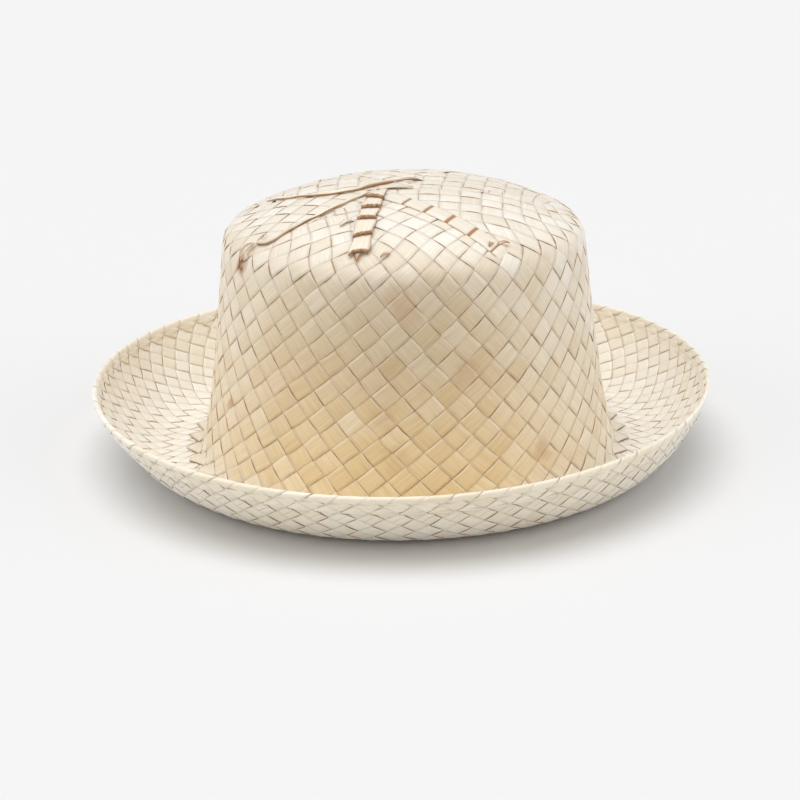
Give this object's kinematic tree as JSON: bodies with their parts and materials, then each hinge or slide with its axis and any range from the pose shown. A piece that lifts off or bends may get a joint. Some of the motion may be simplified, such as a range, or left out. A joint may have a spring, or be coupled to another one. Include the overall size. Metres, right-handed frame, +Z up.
{
  "type": "palm straw hat",
  "caption": "Woven palm straw hat with a tapered crown, a shallow domed and pleated tip, and a brim turned up all round to a rolled edge.",
  "frame": {"origin": "on the surface that the hat rests on, under the middle of its box, which is the middle of the brim's outline", "axes": "+Z up through the crown, -Y towards the front of the hat, +X to the wearer's left"},
  "size_m": [0.2659, 0.2926, 0.1173],
  "materials": {
    "crown_straw": "satin woven palm leaf, natural cream",
    "brim_straw": "satin woven palm leaf, pale yellow cream",
    "edge_straw": "satin folded palm leaf, pale cream",
    "pleat_straw": "satin folded palm leaf with brown lips",
    "fold_straw": "matt rolled palm leaf, tan to brown"
  },
  "bodies": {
    "root": {"crown": "crown_straw", "brim": "brim_straw", "brim_edge": "edge_straw", "pleat_ladder": "pleat_straw", "pleat_left": "fold_straw", "pleat_back_left": "fold_straw"}
  },
  "joints": []
}
